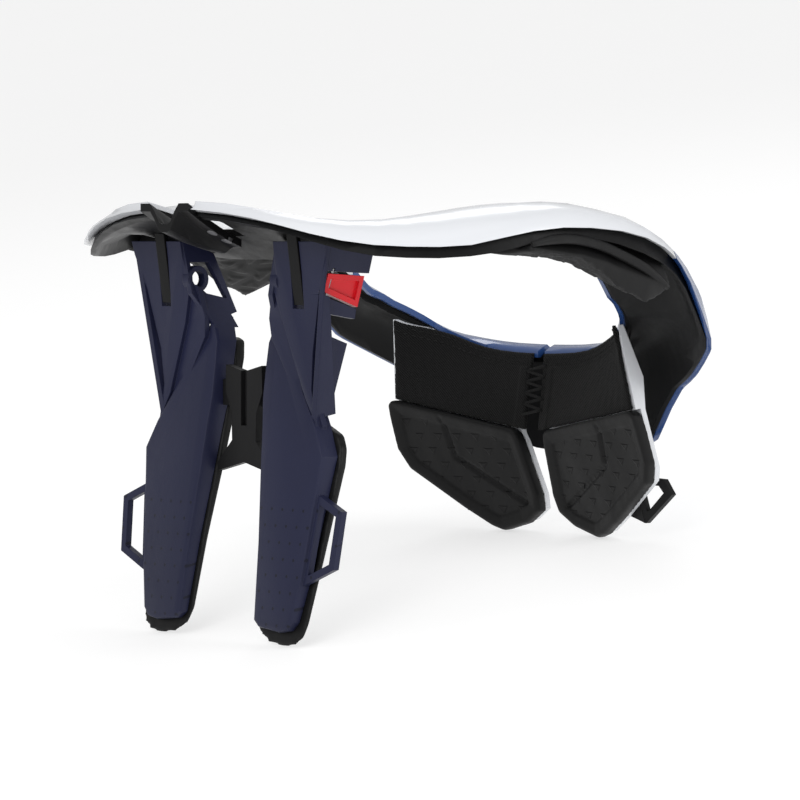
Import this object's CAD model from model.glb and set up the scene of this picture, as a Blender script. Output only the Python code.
"""Looks of the neck brace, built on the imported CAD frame. Metres, +Z up."""

import math

import bpy
from mathutils import Matrix, Vector
from mathutils.bvhtree import BVHTree


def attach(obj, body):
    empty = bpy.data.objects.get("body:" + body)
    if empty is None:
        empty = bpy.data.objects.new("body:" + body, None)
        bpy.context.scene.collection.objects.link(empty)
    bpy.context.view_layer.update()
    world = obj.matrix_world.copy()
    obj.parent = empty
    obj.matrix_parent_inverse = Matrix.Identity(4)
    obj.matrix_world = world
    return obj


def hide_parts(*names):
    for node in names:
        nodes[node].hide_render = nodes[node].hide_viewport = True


MM = 0.001

# The brace's own frame, in which the wearer stands upright, against the row frame
REST_TILT = math.radians(9.7706)
REST_SHIFT = Vector((0.0, 0.007165, 0.087289))
WORN = Matrix.Translation(REST_SHIFT) @ Matrix.Rotation(-REST_TILT, 4, "X")
UNWORN = WORN.inverted()

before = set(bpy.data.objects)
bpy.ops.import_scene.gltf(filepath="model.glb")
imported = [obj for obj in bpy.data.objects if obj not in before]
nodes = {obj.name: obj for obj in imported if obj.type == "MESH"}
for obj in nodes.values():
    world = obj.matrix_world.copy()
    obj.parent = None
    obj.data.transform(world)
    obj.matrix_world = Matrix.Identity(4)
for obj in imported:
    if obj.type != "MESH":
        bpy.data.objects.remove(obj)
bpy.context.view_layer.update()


def worn(x, y, z):
    """A point of the brace's own frame, given in millimetres, in the row frame."""
    return WORN @ (Vector((x, y, z)) * MM)


def worn_way(x, y, z):
    """A direction of the brace's own frame, in the row frame."""
    return WORN.to_3x3() @ Vector((x, y, z))


def own_place(vertex):
    """The place of a vertex in the brace's own frame, in millimetres."""
    return (UNWORN @ vertex.co) / MM


def clamp(value):
    return max(0.0, min(1.0, value))


# Materials


class Shader:
    """A principled material with short ways to add nodes."""

    def __init__(self, name, colour, roughness, **settings):
        self.material = bpy.data.materials.new(name)
        self.material.use_nodes = True
        self.tree = self.material.node_tree
        self.base = self.tree.nodes["Principled BSDF"]
        self.base.inputs["Base Color"].default_value = (*colour, 1)
        self.base.inputs["Roughness"].default_value = roughness
        for key, value in settings.items():
            self.base.inputs[key.replace("_", " ")].default_value = value
        self.place = self.add("ShaderNodeTexCoord").outputs["Object"]

    def add(self, kind, **values):
        node = self.tree.nodes.new(kind)
        for key, value in values.items():
            setattr(node, key, value)
        return node

    def link(self, output, socket):
        self.tree.links.new(output, socket)

    def axes(self):
        """The place split into x, y and z."""
        split = self.add("ShaderNodeSeparateXYZ")
        self.link(self.place, split.inputs[0])
        return split.outputs["X"], split.outputs["Y"], split.outputs["Z"]

    def math(self, operation, a, b=0.0):
        node = self.add("ShaderNodeMath", operation=operation)
        for socket, value in zip(node.inputs, (a, b)):
            if isinstance(value, (int, float)):
                socket.default_value = value
            else:
                self.link(value, socket)
        return node.outputs[0]

    def noise(self, scale, detail, stretch=(1, 1, 1), roughness=0.5):
        mapping = self.add("ShaderNodeMapping")
        mapping.inputs["Scale"].default_value = stretch
        self.link(self.place, mapping.inputs["Vector"])
        node = self.add("ShaderNodeTexNoise")
        node.inputs["Scale"].default_value = scale
        node.inputs["Detail"].default_value = detail
        node.inputs["Roughness"].default_value = roughness
        self.link(mapping.outputs[0], node.inputs["Vector"])
        return node.outputs["Fac"]

    def spread(self, value, low, high):
        """Maps a value of 0.3 to 0.7, the usual reach of a noise, onto low to high."""
        node = self.add("ShaderNodeMapRange")
        node.inputs["From Min"].default_value = 0.3
        node.inputs["From Max"].default_value = 0.7
        node.inputs["To Min"].default_value = low
        node.inputs["To Max"].default_value = high
        self.link(value, node.inputs["Value"])
        return node.outputs["Result"]

    def mix(self, factor, colour_a, colour_b):
        node = self.add("ShaderNodeMix", data_type="RGBA")
        self.link(factor, node.inputs[0])
        for socket, value in ((node.inputs[6], colour_a), (node.inputs[7], colour_b)):
            if isinstance(value, tuple):
                socket.default_value = (*value, 1)
            else:
                self.link(value, socket)
        return node.outputs[2]

    def colour(self, output):
        self.link(output, self.base.inputs["Base Color"])

    def rough(self, output):
        self.link(output, self.base.inputs["Roughness"])

    def bump(self, height, distance, edge=0.0):
        """Adds a bump to the normal, over rounded edges of radius edge."""
        node = self.add("ShaderNodeBump")
        node.inputs["Distance"].default_value = distance
        node.inputs["Strength"].default_value = 1.0
        self.link(height, node.inputs["Height"])
        before = self.base.inputs["Normal"].links
        if before:
            self.link(before[0].from_socket, node.inputs["Normal"])
        elif edge:
            bevel = self.add("ShaderNodeBevel", samples=6)
            bevel.inputs["Radius"].default_value = edge
            self.link(bevel.outputs[0], node.inputs["Normal"])
        self.link(node.outputs[0], self.base.inputs["Normal"])


CLOUD_SCALE = 14
MARK_SCALE = 90
MARK_STRETCH = (1, 1, 0.25)


def plastic(
    name, colour, roughness, edge=0.0005, grain=900, grain_height=0.00002, shift=0.12, uneven=0.2, **settings
):
    """Moulded plastic: fine grain, uneven gloss, faint handling marks and softened edges."""
    shader = Shader(name, colour, roughness, **settings)
    cloud = shader.noise(CLOUD_SCALE, 4)
    light = tuple(min(1.0, c * (1 + shift)) for c in colour)
    dark = tuple(c * (1 - shift) for c in colour)
    shader.colour(shader.mix(shader.spread(cloud, 0.0, 1.0), dark, light))
    marks = shader.noise(MARK_SCALE, 6, MARK_STRETCH, 0.7)
    shader.rough(shader.spread(marks, roughness * (1 - uneven), min(1.0, roughness * (1 + uneven))))
    shader.bump(shader.noise(grain, 2), grain_height, edge=edge)
    return shader


def black_plastic(name, level, roughness):
    shader = plastic(
        name, (level, level, level * 1.06), roughness, grain=1500, grain_height=0.00004,
        Specular_IOR_Level=0.14,
    )
    return shader.material


DOT_PITCH = 7.2 * MM
DOT_RADIUS = 0.1
DOT_TOP = 62 * MM
DOT_DEPTH = 0.4 * MM


def navy_plastic():
    """Matte navy with a fine dot grid on the lower third of each wing."""
    shader = plastic(
        "navy_plastic", (0.014, 0.016, 0.042), 0.44, grain=1300, grain_height=0.00004,
        Specular_IOR_Level=0.22,
    )
    x, _, up = shader.axes()
    across = shader.math("DIVIDE", shader.math("ABSOLUTE", x), DOT_PITCH)
    rows = shader.math("DIVIDE", up, DOT_PITCH)
    shift = shader.math("MULTIPLY", shader.math("MODULO", shader.math("FLOOR", rows), 2.0), 0.5)
    cell_x = shader.math("SUBTRACT", shader.math("FRACT", shader.math("ADD", across, shift)), 0.5)
    cell_z = shader.math("SUBTRACT", shader.math("FRACT", rows), 0.5)
    square_x = shader.math("MULTIPLY", cell_x, cell_x)
    square_z = shader.math("MULTIPLY", cell_z, cell_z)
    away = shader.math("SQRT", shader.math("ADD", square_x, square_z))
    dot = shader.math("LESS_THAN", away, DOT_RADIUS)
    zone = shader.math("LESS_THAN", up, DOT_TOP)
    hole = shader.math("MULTIPLY", dot, zone)
    before = shader.base.inputs["Base Color"].links[0].from_socket
    shader.colour(shader.mix(hole, before, (0.008, 0.009, 0.02)))
    shader.bump(shader.math("MULTIPLY", hole, -1.0), DOT_DEPTH)
    return shader.material


TRIANGLE_PITCH = 12.0
TRIANGLE_RISE = 7.7
TRIANGLE_GAP = 0.14
TRIANGLE_TOP = 0.24
TRIANGLE_LIFT = 0.5 * MM


def triangle_bump(shader):
    """Rows of small raised triangles with their flat edge on top."""
    x, _, z = shader.axes()
    across = shader.math("DIVIDE", shader.math("ABSOLUTE", x), TRIANGLE_PITCH * MM)
    up = shader.math("DIVIDE", z, TRIANGLE_RISE * MM)
    half = shader.math("MULTIPLY", up, 0.5)
    first = shader.math("FRACT", up)
    second = shader.math("FRACT", shader.math("SUBTRACT", across, half))
    third = shader.math("FRACT", shader.math("MULTIPLY", shader.math("ADD", across, half), -1.0))
    total = shader.math("ADD", shader.math("ADD", first, second), third)
    pointing_down = shader.math("GREATER_THAN", total, 1.5)
    largest = shader.math("MAXIMUM", shader.math("MAXIMUM", first, second), third)
    inset = shader.math("SUBTRACT", 1.0, largest)
    ramp = shader.add("ShaderNodeMapRange", interpolation_type="SMOOTHSTEP")
    ramp.inputs["From Min"].default_value = TRIANGLE_GAP
    ramp.inputs["From Max"].default_value = TRIANGLE_TOP
    shader.link(inset, ramp.inputs["Value"])
    face = shader.add("ShaderNodeAttribute", attribute_name="inner_face").outputs["Fac"]
    height = shader.math("MULTIPLY", ramp.outputs["Result"], pointing_down)
    shader.bump(shader.math("MULTIPLY", height, face), TRIANGLE_LIFT)


def rubber(name, level, triangles=False):
    """Moulded foam rubber: dry, slightly mottled, with a fine skin."""
    shader = plastic(
        name, (level, level, level * 1.04), 0.5, grain=2200, grain_height=0.00004, edge=0, shift=0.16,
        Specular_IOR_Level=0.2,
    )
    if triangles:
        triangle_bump(shader)
    return shader.material


RIB_PITCH = 1.5 * MM
THREAD_PITCH = 0.5 * MM
WOBBLE = 0.6 * MM
CROSSING = 1.9


def twill(name, level, pitch):
    """Woven cloth: diagonal ribs crossed by single threads, with loose fibres."""
    shader = Shader(name, (level, level, level), 0.9, Sheen_Weight=0.05, Specular_IOR_Level=0.08)
    across, back, up = shader.axes()
    wobble = shader.math("MULTIPLY", shader.math("SUBTRACT", shader.noise(260, 2), 0.5), WOBBLE)
    x = shader.math("ADD", across, wobble)
    z = shader.math("ADD", up, shader.math("MULTIPLY", back, 0.6))
    turn = 2 * math.pi / pitch
    rib = shader.math("SINE", shader.math("MULTIPLY", shader.math("ADD", x, z), turn))
    warp = shader.math("SINE", shader.math("MULTIPLY", shader.math("SUBTRACT", x, z), turn * CROSSING))
    weave = shader.math("ADD", shader.math("MULTIPLY", rib, 0.65), shader.math("MULTIPLY", warp, 0.35))
    share = shader.math("ADD", shader.math("MULTIPLY", weave, 0.5), 0.5)
    shader.colour(shader.mix(share, (level * 0.3,) * 3, (level * 2.4,) * 3))
    shader.bump(weave, 0.00022)
    shader.bump(shader.noise(2600, 3), 0.00008)
    shader.rough(shader.spread(shader.noise(40, 4), 0.8, 0.96))
    return shader.material


white = plastic(
    "white_gloss", (0.7, 0.715, 0.745), 0.26, grain=160, grain_height=0.000005, shift=0.008, uneven=0.06,
    Coat_Weight=0.35, Coat_Roughness=0.14,
).material
blue = plastic(
    "blue_gloss", (0.02, 0.06, 0.2), 0.24, grain=160, grain_height=0.000005, shift=0.05, uneven=0.06,
    Coat_Weight=0.5, Coat_Roughness=0.08,
).material
navy = navy_plastic()
tray_black = black_plastic("black_tray", 0.005, 0.42)
link_black = black_plastic("black_link", 0.007, 0.36)
loop_black = black_plastic("black_loop", 0.006, 0.42)
bridge_black = black_plastic("black_bridge", 0.009, 0.5)
shoulder_rubber = rubber("shoulder_rubber", 0.008)
chest_rubber = rubber("chest_rubber", 0.006)
scapula_rubber = rubber("scapula_rubber", 0.005, triangles=True)
metal = plastic("screw_steel", (0.3, 0.3, 0.31), 0.38, grain=2500, edge=0.0002, Metallic=0.9).material
red = plastic(
    "lever_red", (0.66, 0.008, 0.016), 0.36, grain=1100, grain_height=0.00003, shift=0.06, edge=0.0004,
    Specular_IOR_Level=0.3,
).material
cloth = twill("twill", 0.0065, RIB_PITCH)
thread = twill("thread", 0.012, THREAD_PITCH)


# Hard pieces: the CAD nodes themselves, with smooth faces between sharp edges

WELD = 0.01 * MM
EDGE_ANGLE = 32
WING_ANGLE = 28
RING_ANGLE = 50
SHELL_ANGLE = 65


def corner_angle(mesh, face, corner):
    """The angle of a face at one of its corners."""
    places = [mesh.vertices[index].co for index in face.vertices]
    here = places[corner]
    before = places[corner - 1] - here
    after = places[(corner + 1) % len(places)] - here
    if before.length == 0 or after.length == 0:
        return 0.0
    return before.angle(after)


def smooth_normals(mesh, angle):
    """Smooths the light over a form whose triangles stand alone, but not over edges sharper than angle."""
    meetings = {}
    corners = []
    for face in mesh.polygons:
        for corner, index in enumerate(face.vertices):
            key = tuple(round(c / WELD) for c in mesh.vertices[index].co)
            meetings.setdefault(key, []).append((face.normal.copy(), corner_angle(mesh, face, corner)))
            corners.append((key, face.normal.copy()))
    limit = math.cos(angle)
    normals = []
    for key, own in corners:
        total = own * 1e-6
        for normal, weight in meetings[key]:
            if normal.dot(own) > limit:
                total = total + normal * weight
        normals.append(total.normalized())
    mesh.normals_split_custom_set(normals)


def dress(name, material, angle=EDGE_ANGLE):
    mesh = nodes[name].data
    mesh.materials.clear()
    mesh.materials.append(material)
    mesh.shade_smooth()
    smooth_normals(mesh, math.radians(angle))


# Soft pieces


def remeshed(name, new_name, voxel, smooth):
    """A fine copy of a CAD solid whose edges are rounded, as moulded foam is."""
    mesh = nodes[name].data.copy()
    piece = bpy.data.objects.new(new_name, mesh)
    bpy.context.scene.collection.objects.link(piece)
    remesh = piece.modifiers.new("voxels", "REMESH")
    remesh.mode = "VOXEL"
    remesh.voxel_size = voxel
    rounded = piece.modifiers.new("rounded", "SMOOTH")
    rounded.factor = 0.5
    rounded.iterations = smooth
    graph = bpy.context.evaluated_depsgraph_get()
    done = bpy.data.meshes.new_from_object(piece.evaluated_get(graph))
    piece.modifiers.clear()
    piece.data = done
    done.name = new_name
    done.materials.clear()
    done.shade_smooth()
    return piece


def emboss(piece, field, way_in):
    """Moves each vertex along way_in, in the brace's own frame, by the millimetres that field says."""
    push = worn_way(*way_in) * MM
    mesh = piece.data
    normals = [v.normal.copy() for v in mesh.vertices]
    for vertex, normal in zip(mesh.vertices, normals):
        facing = UNWORN.to_3x3() @ normal
        vertex.co = vertex.co + push * field(own_place(vertex), facing)


def mark(piece, name, field):
    """Keeps a share of 0 to 1 at each vertex, for the material to read."""
    shares = piece.data.attributes.new(name, "FLOAT", "POINT")
    for vertex in piece.data.vertices:
        shares.data[vertex.index].value = field(own_place(vertex))


def finish_soft(piece, material, node):
    piece.data.materials.append(material)
    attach(piece, "brace")
    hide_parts(node)


def segment_distance(x, z, start, end):
    """Distance from a place in x and z to a straight piece of line."""
    (ax, az), (bx, bz) = start, end
    dx, dz = bx - ax, bz - az
    share = clamp(((x - ax) * dx + (z - az) * dz) / (dx * dx + dz * dz))
    return math.hypot(x - ax - share * dx, z - az - share * dz)


def line_distance(x, z, line):
    """Distance in millimetres from a place to an open line of points."""
    return min(segment_distance(x, z, start, end) for start, end in zip(line, line[1:]))


def inside_share(place, outline, margin, ramp):
    """1 well inside an outline in x and z, falling to 0 over a ramp up to a margin from its edge."""
    x, z = abs(place.x), place.z
    closed = outline + outline[:1]
    inside = False
    for (ax, az), (bx, bz) in zip(closed, closed[1:]):
        if (az > z) != (bz > z) and x < (bx - ax) * (z - az) / (bz - az) + ax:
            inside = not inside
    if not inside:
        return 0.0
    return clamp((line_distance(x, z, closed) - margin) / ramp)


# The scapula pad's outline, as in the CAD part, and the bent groove in its face
PAD_OUTER = 85
PAD_DROP = 70
SCAPULA = [
    (x * PAD_OUTER, z * PAD_DROP)
    for x, z in (
        (0.147, -0.243), (0.115, -0.27), (0.1, -0.33), (0.065, -0.72), (0.082, -0.84), (0.2, -0.935),
        (0.39, -1), (0.465, -0.97), (0.635, -0.85), (0.977, -0.575), (1.035, -0.43), (1.03, -0.2),
        (1.02, -0.1), (0.99, -0.07), (0.955, -0.069),
    )
]
SCAPULA_GROOVE = [(x * PAD_OUTER, z * PAD_DROP) for x, z in ((0.65, -0.17), (0.62, -0.467), (0.155, -0.8))]
GROOVE_HALF = 1.1
GROOVE_DEPTH = 0.5
BAND_WIDTH = 5.5
BAND_DEPTH = 1.7
LIP_OFFSET = 1.0
LIP_RAMP = 0.7
LIP_DEPTH = 0.8


def scapula_face(place):
    """1 on the flat face inside the band."""
    return inside_share(place, SCAPULA, BAND_WIDTH + LIP_OFFSET, LIP_RAMP)


def scapula_field(place, facing):
    """A rim that slopes in, a lip, and a face inside it that is cut by one bent groove."""
    if facing.y > -0.5:
        return 0.0
    slope = inside_share(place, SCAPULA, LIP_OFFSET, BAND_WIDTH)
    face = scapula_face(place)
    away = line_distance(abs(place.x), place.z, SCAPULA_GROOVE)
    groove = clamp(1.9 - away / GROOVE_HALF)
    return BAND_DEPTH * slope + LIP_DEPTH * face + GROOVE_DEPTH * groove * face


RELIEF_PITCH = 13.0
RELIEF_FRONT = -46
RELIEF_BACK = 26
RELIEF_GAP = 0.12
RELIEF_RAMP = 0.08


def triangle_relief(u, v, pitch):
    """Height from 0 to 1 of a field of raised triangles, at a place in millimetres."""
    height = pitch * 0.866
    row = math.floor(v / height)
    share = v / height - row
    along_row = u / pitch + (0.5 if row % 2 else 0.0)
    column = math.floor(along_row + share * 0.5)
    inside = along_row + share * 0.5 - column
    if inside + share < 1 + 0.5 * share:
        distances = (share, inside - share * 0.5, 1 - inside - share * 0.5)
    else:
        distances = (1 - share, inside - 0.5 - (1 - share) * 0.5, 1.5 - inside - (1 - share) * 0.5)
    edge = min(abs(d) for d in distances)
    return clamp((edge - RELIEF_GAP) / RELIEF_RAMP)


def shoulder_field(place, facing):
    """Grooves between raised triangles, on the middle of the pad's underside."""
    zone = clamp((-facing.z - 0.5) / 0.35)
    if zone <= 0 or not RELIEF_FRONT < place.y < RELIEF_BACK:
        return 0.0
    relief = triangle_relief(place.y, abs(place.x) + place.z, RELIEF_PITCH)
    return zone * (1 - relief)


# Cloth panels: hems round a thinner middle, rows of stitches and the lacing of the rear slit

CLOTH_INNER = 4.5
CLOTH_OUTER = 80
CLOTH_BOTTOM = -12
HEM_WIDTH = 6.5
HEM_RAMP = 0.8
STITCH_PITCH = 3.1
STITCH_LENGTH = 2.2
STITCH_RADIUS = 0.33
STITCH_END = 0.12
STITCH_PROUD = 0.1
LACE_RADIUS = 0.75
LACE_CROSSINGS = 9
LACE_STEPS = 6
LACE_LIFT = 0.35
LACE_BOTTOM = -10


class Panel:
    """Places on the front of a cloth panel, found by looking at its CAD solid from the front."""

    def __init__(self, side):
        mesh = nodes[f"fabric_panel_{side}"].data
        self.sign = 1 if side == "left" else -1
        self.tree = BVHTree.FromPolygons([v.co for v in mesh.vertices], [p.vertices for p in mesh.polygons])
        self.columns = [(x, self.top(x)) for x in range(6, CLOTH_OUTER, 2)]

    def front(self, x, z):
        """The face of the cloth at x and z in millimetres, or None beside the panel."""
        return self.tree.ray_cast(worn(self.sign * x, 20, z), worn_way(0, 1, 0))[0]

    def top(self, x):
        """The height at which the cloth begins, coming from above."""
        z = 45
        while self.front(x, z) is None and z > -60:
            z -= 0.5
        return z

    def top_line(self, inset):
        return [(x, top - inset) for x, top in self.columns]

    def slit_line(self, inset):
        top = self.columns[0][1]
        return [(CLOTH_INNER + inset, z) for z in (top - 3, top - 14, top - 26, CLOTH_BOTTOM)]

    def slack(self, place, facing):
        """1 in the middle of the cloth and 0 on its hems."""
        if facing.y > -0.4:
            return 0.0
        x = abs(place.x)
        away = min(line_distance(x, place.z, self.top_line(0)), max(x - CLOTH_INNER, 0.0))
        return clamp((away - HEM_WIDTH) / HEM_RAMP)


def add_tube(vertices, faces, points, radii, sides=6):
    """Appends a closed tube through points, in metres, with radii in millimetres."""
    start = len(vertices)
    for index, (point, radius) in enumerate(zip(points, radii)):
        before = points[max(index - 1, 0)]
        after = points[min(index + 1, len(points) - 1)]
        turned = (after - before).to_track_quat("Z", "Y")
        for corner in range(sides):
            angle = 2 * math.pi * corner / sides
            rim = Vector((math.cos(angle), math.sin(angle), 0)) * radius * MM
            vertices.append(point + turned @ rim)
    for index in range(len(points) - 1):
        for corner in range(sides):
            a = start + index * sides + corner
            b = start + index * sides + (corner + 1) % sides
            faces.append((a, b, b + sides, a + sides))
    last = start + (len(points) - 1) * sides
    faces.append(tuple(start + corner for corner in reversed(range(sides))))
    faces.append(tuple(last + corner for corner in range(sides)))


def mesh_piece(name, vertices, faces, material):
    mesh = bpy.data.meshes.new(name)
    mesh.from_pydata(vertices, [], faces)
    mesh.materials.append(material)
    mesh.shade_smooth()
    piece = bpy.data.objects.new(name, mesh)
    bpy.context.scene.collection.objects.link(piece)
    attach(piece, "brace")


def along(line, distance):
    """The point of a line of (x, z) at a distance from its start, or None past its end."""
    for (ax, az), (bx, bz) in zip(line, line[1:]):
        length = math.hypot(bx - ax, bz - az)
        if distance <= length:
            share = distance / length
            return ax + (bx - ax) * share, az + (bz - az) * share
        distance -= length
    return None


def sew(panel, name, lines):
    """Rows of stitches along lines on the front of a panel."""
    vertices, faces = [], []
    proud = worn_way(0, -STITCH_PROUD * MM, 0)
    radii = [STITCH_END, STITCH_RADIUS, STITCH_RADIUS, STITCH_END]
    for line in lines:
        distance = 0.0
        while True:
            ends = [along(line, distance + share * STITCH_LENGTH) for share in (0, 0.25, 0.75, 1)]
            if None in ends:
                break
            places = [panel.front(*end) for end in ends]
            if None not in places:
                add_tube(vertices, faces, [place + proud for place in places], radii)
            distance += STITCH_PITCH
    mesh_piece(name, vertices, faces, thread)


def lace(left, right):
    """One lace that crosses the rear slit from panel to panel, from the bottom to the top."""
    top = left.columns[0][1] - 6
    corners = []
    for index in range(LACE_CROSSINGS + 1):
        z = LACE_BOTTOM + (top - LACE_BOTTOM) * index / LACE_CROSSINGS
        panel = left if index % 2 else right
        corners.append(panel.front(CLOTH_INNER + 2.0, z))
    lift = worn_way(0, -LACE_LIFT * MM, 0)
    points = []
    for a, b in zip(corners, corners[1:]):
        points += [a.lerp(b, share / LACE_STEPS) + lift for share in range(LACE_STEPS)]
    points.append(corners[-1] + lift)
    vertices, faces = [], []
    add_tube(vertices, faces, points, [LACE_RADIUS] * len(points), 8)
    mesh_piece("slit_lace", vertices, faces, thread)


# The curved rail over each shoulder pad, under the tray: (x, y, z) in millimetres and its radius
RAIL = (
    (143, -53, 75, 1.2), (143, -41, 77, 2.2), (143, -28, 77.4, 2.4), (143, -14, 75.5, 2.4),
    (143, -1, 71.9, 2.4), (143, 19, 64.3, 2.3), (142.5, 35, 55.2, 1.4),
)
RAIL_STEPS = 5
RAIL_SIDES = 12


def spline_weights(t):
    """Shares of four rows in a smooth curve that runs between the middle two."""
    return (
        0.5 * (-t + 2 * t * t - t**3), 0.5 * (2 - 5 * t * t + 3 * t**3),
        0.5 * (t + 4 * t * t - 3 * t**3), 0.5 * (t**3 - t * t),
    )


def add_rail(side):
    """A smooth tube through the rail's places, whose radius tapers at its ends."""
    sign = 1 if side == "left" else -1
    rows = []
    for index in range(len(RAIL) - 1):
        around = [RAIL[max(0, min(len(RAIL) - 1, index + shift))] for shift in (-1, 0, 1, 2)]
        for step in range(RAIL_STEPS):
            weights = spline_weights(step / RAIL_STEPS)
            rows.append([sum(w * row[axis] for w, row in zip(weights, around)) for axis in range(4)])
    rows.append(RAIL[-1])
    points = [worn(sign * x, y, z) for x, y, z, _ in rows]
    radii = [row[3] for row in rows]
    vertices, faces = [], []
    add_tube(vertices, faces, points, radii, RAIL_SIDES)
    mesh_piece(f"shoulder_rail_{side}", vertices, faces, shoulder_rubber)


panels = {}

for side in ("left", "right"):
    panel = panels[side] = Panel(side)
    panel_piece = remeshed(f"fabric_panel_{side}", f"cloth_panel_{side}", 0.8 * MM, 2)
    emboss(panel_piece, panel.slack, (0, 0.45, 0))
    finish_soft(panel_piece, cloth, f"fabric_panel_{side}")
    sew(panel, f"cloth_stitches_{side}", [panel.top_line(2.0), panel.top_line(5.0), panel.slit_line(2.2)])

    scapula = remeshed(f"scapula_pad_{side}", f"scapula_cushion_{side}", 0.8 * MM, 5)
    emboss(scapula, scapula_field, (0, 1, 0))
    mark(scapula, "inner_face", scapula_face)
    finish_soft(scapula, scapula_rubber, f"scapula_pad_{side}")

    chest = remeshed(f"chest_pad_{side}", f"chest_cushion_{side}", 1.0 * MM, 8)
    finish_soft(chest, chest_rubber, f"chest_pad_{side}")

    shoulder = remeshed(f"shoulder_pad_{side}", f"shoulder_cushion_{side}", 1.1 * MM, 6)
    emboss(shoulder, shoulder_field, (0, 0, 0.6))
    finish_soft(shoulder, shoulder_rubber, f"shoulder_pad_{side}")

    add_rail(side)

    dress(f"top_shell_{side}", white, SHELL_ANGLE)
    dress(f"chest_wing_{side}", navy, WING_ANGLE)
    dress(f"wing_tongue_{side}", tray_black)
    dress(f"rear_wing_{side}", white)
    dress(f"rear_loop_{side}", loop_black)

lace(panels["left"], panels["right"])

dress("rear_shell", blue, SHELL_ANGLE)
dress("base_ring", tray_black, RING_ANGLE)
dress("front_link", link_black)
dress("wing_bridge", bridge_black)
dress("release_lever", red)
dress("lever_pin", metal)
for number in range(1, 5):
    dress(f"link_screw_{number}", metal)


# Camera: the photograph's view of the brace, in the brace's own frame

VIEW_AZIMUTH = 47
VIEW_ELEVATION = 2.41
VIEW_DISTANCE = 1856 * MM
VIEW_LENS = 173.7
SENSOR_WIDTH = 36
LIGHT_AIM = Vector((0, 0, 0.1))
FLOOR_HALF = 20


def view_way(azimuth, elevation):
    """The way from the middle to a place that looks at it from an azimuth and elevation in degrees."""
    a, e = math.radians(azimuth), math.radians(elevation)
    return Vector((math.sin(a) * math.cos(e), -math.cos(a) * math.cos(e), math.sin(e)))


def add_camera():
    data = bpy.data.cameras.new("camera")
    data.lens = VIEW_LENS
    data.sensor_width = SENSOR_WIDTH
    camera = bpy.data.objects.new("camera", data)
    bpy.context.scene.collection.objects.link(camera)
    back = view_way(VIEW_AZIMUTH, VIEW_ELEVATION)
    turned = (-back).to_track_quat("-Z", "Y").to_matrix().to_4x4()
    camera.matrix_world = WORN @ Matrix.Translation(back * VIEW_DISTANCE) @ turned
    bpy.context.scene.camera = camera


def add_light(name, azimuth, elevation, distance, size, energy):
    data = bpy.data.lights.new(name, "AREA")
    data.shape = "DISK"
    data.size = size
    data.energy = energy
    light = bpy.data.objects.new(name, data)
    back = view_way(azimuth, elevation)
    light.location = back * distance + LIGHT_AIM
    light.rotation_mode = "QUATERNION"
    light.rotation_quaternion = (-back).to_track_quat("-Z", "Y")
    bpy.context.scene.collection.objects.link(light)


def add_floor():
    mesh = bpy.data.meshes.new("floor")
    corners = ((-1, -1), (1, -1), (1, 1), (-1, 1))
    mesh.from_pydata([(x * FLOOR_HALF, y * FLOOR_HALF, 0) for x, y in corners], [], [(0, 1, 2, 3)])
    floor = bpy.data.objects.new("floor", mesh)
    bpy.context.scene.collection.objects.link(floor)
    shader = Shader(
        "floor_white", (0.45, 0.45, 0.45), 0.9, Emission_Color=(1, 1, 1, 1), Emission_Strength=0.62,
        Specular_IOR_Level=0.1,
    )
    shader.rough(shader.spread(shader.noise(3, 3), 0.85, 0.95))
    mesh.materials.append(shader.material)


def add_world():
    world = bpy.data.worlds.new("studio")
    world.use_nodes = True
    background = world.node_tree.nodes["Background"]
    background.inputs["Color"].default_value = (1, 1, 1, 1)
    background.inputs["Strength"].default_value = 0.6
    bpy.context.scene.world = world


add_camera()
add_world()
add_floor()
add_light("key", 25, 30, 1.7, 0.9, 9)
add_light("top", 60, 80, 1.6, 1.4, 3)
add_light("side", 105, 22, 1.8, 0.7, 8)
add_light("rim", 215, 42, 1.8, 0.8, 4)

bpy.context.scene.view_settings.view_transform = "Standard"
